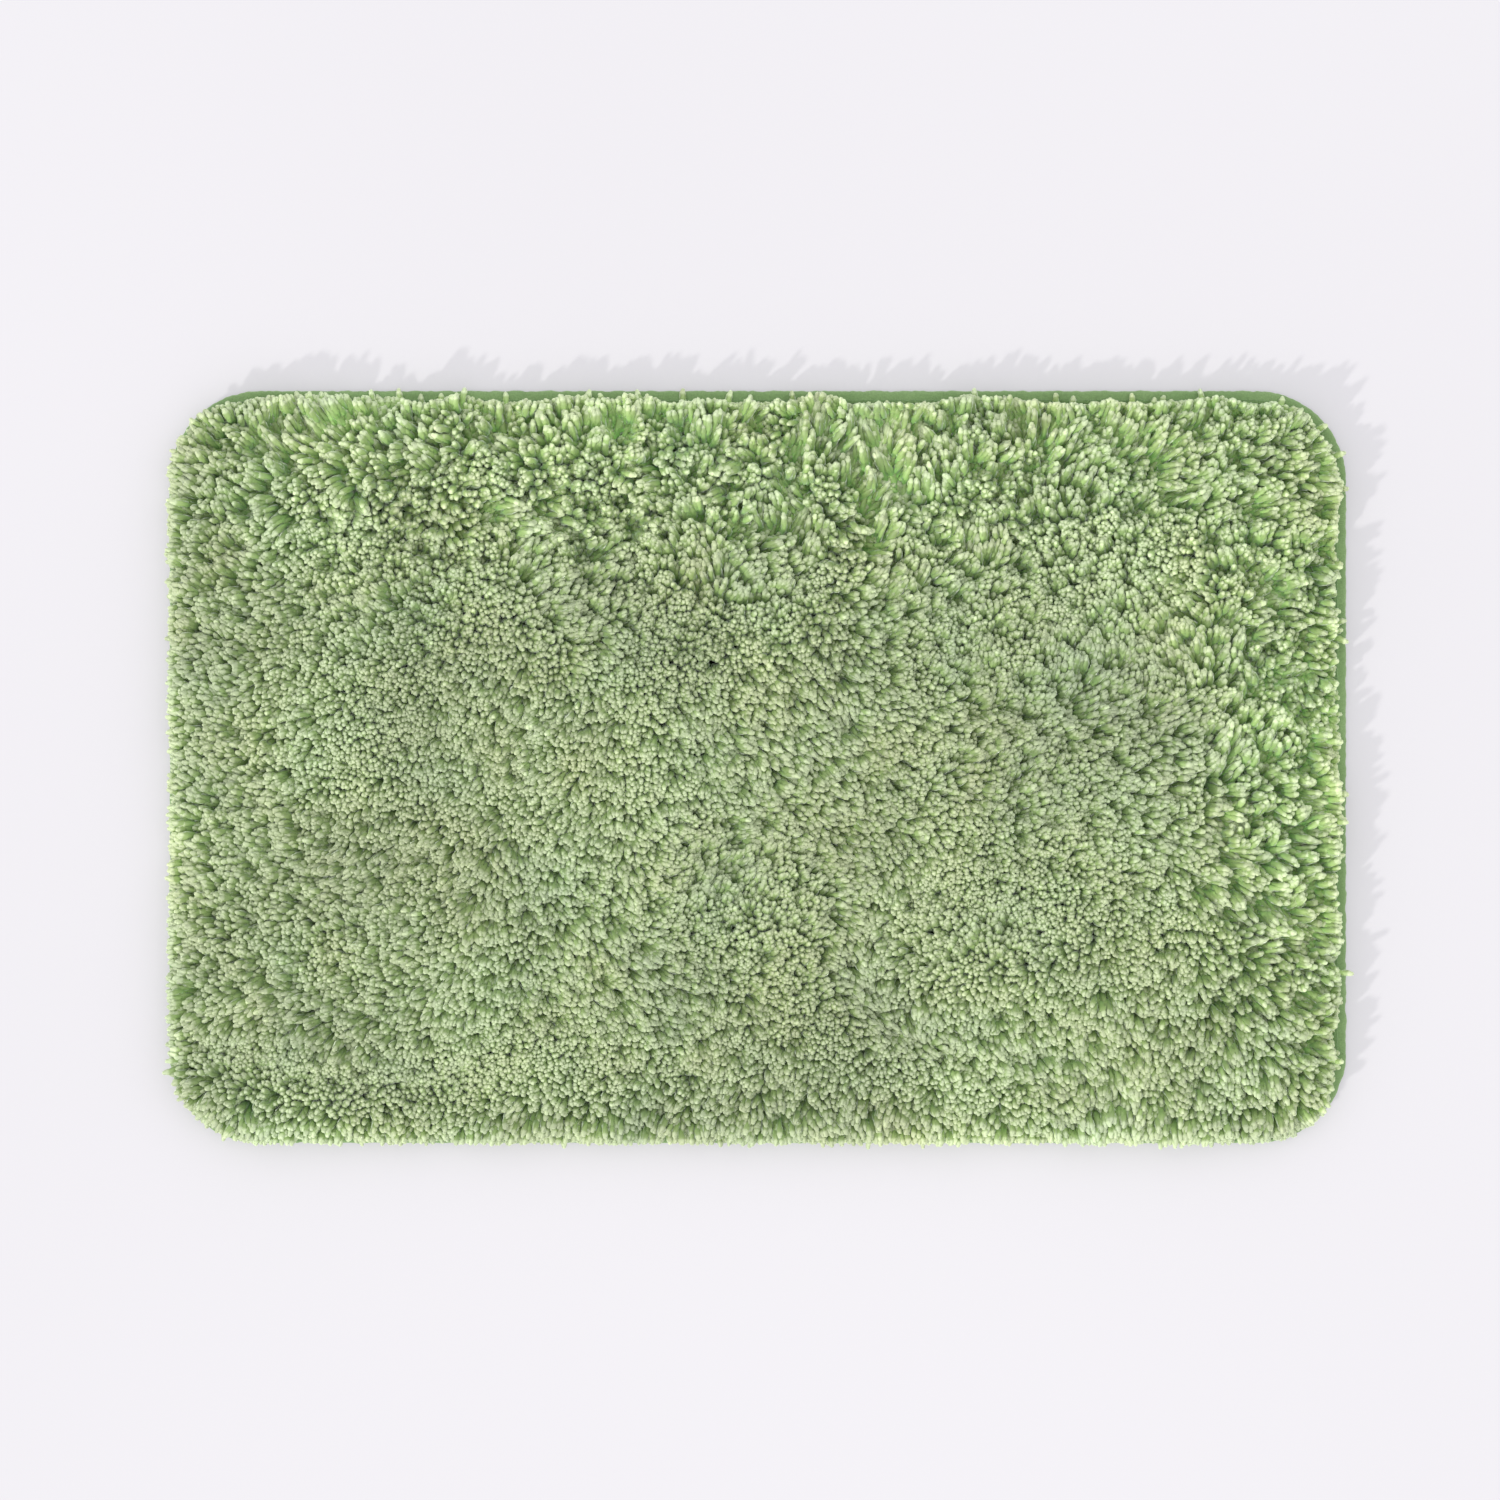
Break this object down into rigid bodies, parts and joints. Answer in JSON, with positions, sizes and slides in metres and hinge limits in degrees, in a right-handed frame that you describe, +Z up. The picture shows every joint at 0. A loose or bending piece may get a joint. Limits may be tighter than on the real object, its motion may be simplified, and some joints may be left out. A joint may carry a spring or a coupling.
{
  "type": "bath mat",
  "caption": "Rectangular shag bath mat with rounded corners: thick green cut-pile yarn tufts, a bound edge and a non-slip rubber underside with grip dots.",
  "frame": {"origin": "on the floor, under the centre of the mat: the middle of the underside of the centre grip dot", "axes": "+X along the mat's long side, +Y across it towards the side with no care label, +Z up out of the pile"},
  "size_m": [0.782, 0.5, 0.0284],
  "materials": {
    "pile": "soft green microfibre cut-pile yarn with a light sheen, paler at the tips",
    "cloth": "matt plain-woven ground cloth, dyed green with the pile",
    "latex": "matt cream latex coat",
    "rubber": "satin off-white thermoplastic rubber with a fine moulded texture",
    "binding": "soft green brushed knit tape",
    "thread": "green polyester sewing thread with a slight sheen",
    "label": "white woven satin tape, blank"
  },
  "bodies": {
    "root": {"anti_slip_backing": "rubber", "latex_coat": "latex", "ground_cloth": "cloth", "edge_binding": "binding", "needle_thread": "thread", "bobbin_thread": "thread", "care_label": "label", "yarn_row_01": "pile", "yarn_row_02": "pile", "yarn_row_03": "pile", "yarn_row_04": "pile", "yarn_row_05": "pile", "yarn_row_06": "pile", "yarn_row_07": "pile", "yarn_row_08": "pile", "yarn_row_09": "pile", "yarn_row_10": "pile", "yarn_row_11": "pile", "yarn_row_12": "pile", "yarn_row_13": "pile", "yarn_row_14": "pile", "yarn_row_15": "pile", "yarn_row_16": "pile", "yarn_row_17": "pile", "yarn_row_18": "pile", "yarn_row_19": "pile", "yarn_row_20": "pile", "yarn_row_21": "pile", "yarn_row_22": "pile", "yarn_row_23": "pile", "yarn_row_24": "pile", "yarn_row_25": "pile", "yarn_row_26": "pile", "yarn_row_27": "pile", "yarn_row_28": "pile", "yarn_row_29": "pile", "yarn_row_30": "pile", "yarn_row_31": "pile", "yarn_row_32": "pile", "yarn_row_33": "pile", "yarn_row_34": "pile", "yarn_row_35": "pile", "yarn_row_36": "pile", "yarn_row_37": "pile", "yarn_row_38": "pile", "yarn_row_39": "pile", "yarn_row_40": "pile", "yarn_row_41": "pile", "yarn_row_42": "pile", "yarn_row_43": "pile", "yarn_row_44": "pile", "yarn_row_45": "pile", "yarn_row_46": "pile", "yarn_row_47": "pile", "yarn_row_48": "pile"}
  },
  "joints": []
}
